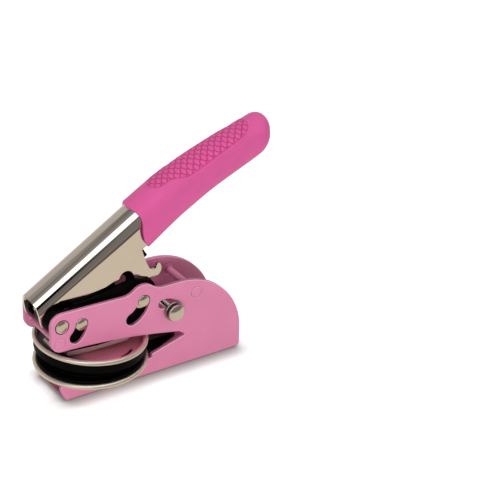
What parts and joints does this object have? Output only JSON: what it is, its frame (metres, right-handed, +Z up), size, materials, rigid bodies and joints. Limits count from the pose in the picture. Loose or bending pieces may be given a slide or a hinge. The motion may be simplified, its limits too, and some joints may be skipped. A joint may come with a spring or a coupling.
{
  "type": "seal embosser",
  "caption": "Hand-held seal embosser: folded frame, sprung chrome lever with soft grip, pivoting ram, sliding lock knob and a hinged pair of round dies.",
  "frame": {"origin": "on the table, on the underside of the frame's bottom web, straight below the centre of the round dies", "axes": "+X towards the rear and the handle, +Y towards the far side (the lock knob is on -Y), +Z up"},
  "size_m": [0.1246, 0.0516, 0.109],
  "materials": {
    "frame_paint": "smooth satin pink powder coat",
    "lever_chrome": "bright polished plate",
    "pin_steel": "plain turned steel",
    "spring_steel": "plain drawn or rolled spring steel",
    "plate_steel": "bright nickel plate, satin",
    "ram_black": "satin black coat",
    "sole_steel": "dull zinc plate",
    "knob_steel": "bright plate",
    "die_plastic": "matt black moulding",
    "ring_plastic": "matt black moulding",
    "core_plastic": "matt black moulding",
    "grip_rubber": "soft pink moulding, satin"
  },
  "bodies": {
    "frame": {"side_frame": "frame_paint", "front_spacer_bar": "frame_paint", "rear_spacer_bar": "frame_paint", "pivot_pin": "pin_steel", "return_spring": "spring_steel", "lower_die_plate": "plate_steel", "lower_die": "die_plastic", "clip_spring": "spring_steel", "lower_strap_rivets": "pin_steel"},
    "lever": {"lever_channel": "lever_chrome", "drive_pin": "pin_steel", "drive_ring_near": "ring_plastic", "drive_ring_far": "ring_plastic", "pivot_bush_near": "ring_plastic", "pivot_bush_far": "ring_plastic", "grip_core": "core_plastic", "hand_grip": "grip_rubber"},
    "ram": {"ram": "ram_black", "ram_sole": "sole_steel", "guide_stud_near": "pin_steel", "guide_stud_far": "pin_steel"},
    "lock": {"lock_pin": "pin_steel", "lock_knob": "knob_steel", "lock_retainer": "knob_steel"},
    "upper_clip": {"upper_die_plate": "plate_steel", "upper_die": "die_plastic", "upper_strap_rivets": "pin_steel"}
  },
  "joints": [
    {"name": "lever_pivot", "type": "hinge", "parent": "frame", "child": "lever", "pos_m": [-0.0206, 0, 0.0387], "axis": [0, 1, 0], "range_deg": [0, 22], "stiffness_Nm_per_rad": 1.2, "springref_deg": -20.05, "deforming": ["return_spring"]},
    {"name": "ram_pivot", "type": "hinge", "parent": "lever", "child": "ram", "pos_m": [-0.011, 0, 0.03701], "axis": [0, 1, 0], "range_deg": [-22, 0]},
    {"name": "upper_plate_hinge", "type": "hinge", "parent": "frame", "child": "upper_clip", "pos_m": [0.0374, 0, 0.0141], "axis": [0, 1, 0], "range_deg": [-4.3, 0], "deforming": ["clip_spring"]},
    {"name": "lock_slide", "type": "hinge", "parent": "frame", "child": "lock", "pos_m": [0.0284, 0, 0.02851], "axis": [0, 1, 0], "range_deg": [-58, 0]}
  ],
  "couplings": [
    {"joint": "ram_pivot", "follows": "lever_pivot", "ratio": -1},
    {"joint": "upper_plate_hinge", "follows": "lever_pivot", "ratio": -0.1954}
  ]
}
